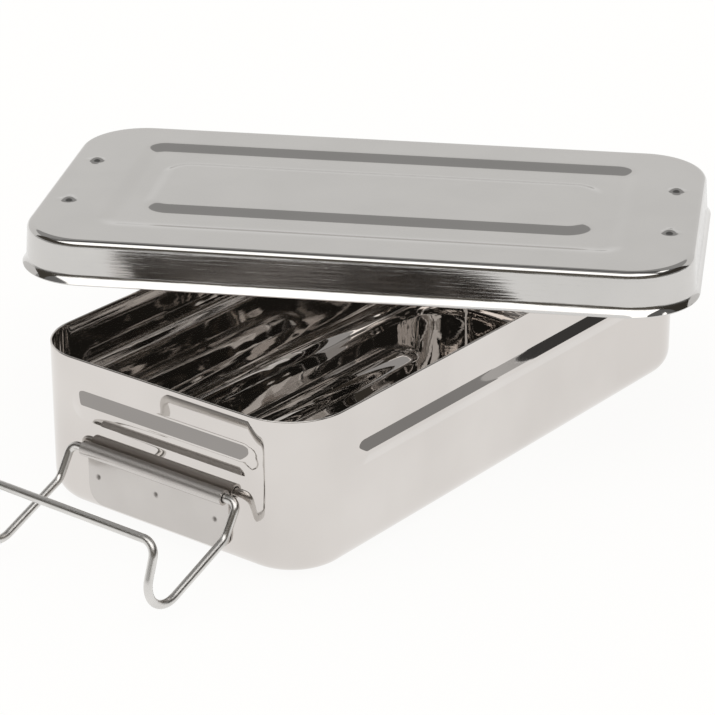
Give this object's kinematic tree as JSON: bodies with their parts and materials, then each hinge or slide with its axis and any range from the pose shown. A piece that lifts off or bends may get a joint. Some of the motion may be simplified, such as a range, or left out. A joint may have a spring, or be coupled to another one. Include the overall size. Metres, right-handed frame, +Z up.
{
  "type": "instrument box",
  "caption": "Long stainless steel instrument box with rounded corners, pressed ribs, a loose lift-off lid laid askew on its rim and a hinged wire handle at each end.",
  "frame": {"origin": "centre of the flat underside of the tray", "axes": "+X along the tray's length towards the rear handle, +Y across its width, +Z up out of the tray"},
  "size_m": [0.3302, 0.2576, 0.0734],
  "materials": {
    "polished_sheet": "mirror polished stainless sheet with fine wiping scratches",
    "lid_sheet": "bright satin top with polished skirt",
    "bracket_sheet": "bright rolled stainless sheet",
    "bright_wire": "bright drawn stainless wire"
  },
  "bodies": {
    "tray": {"box_body": "polished_sheet", "front_bracket": "bracket_sheet", "rear_bracket": "bracket_sheet"},
    "lid": {"lid": "lid_sheet"},
    "front_handle": {"front_handle": "bright_wire"},
    "rear_handle": {"rear_handle": "bright_wire"}
  },
  "joints": [
    {"name": "lid_lift", "type": "slide", "parent": "tray", "child": "lid", "axis": [0, 0, 1], "range_m": [0, 0.12]},
    {"name": "front_handle_swing", "type": "hinge", "parent": "tray", "child": "front_handle", "pos_m": [-0.1199, 0.0005, 0.026], "axis": [0, 1, 0], "range_deg": [-4, 112.3]},
    {"name": "rear_handle_swing", "type": "hinge", "parent": "tray", "child": "rear_handle", "pos_m": [0.1199, 0.0005, 0.026], "axis": [0, -1, 0], "range_deg": [-42, 9]}
  ]
}
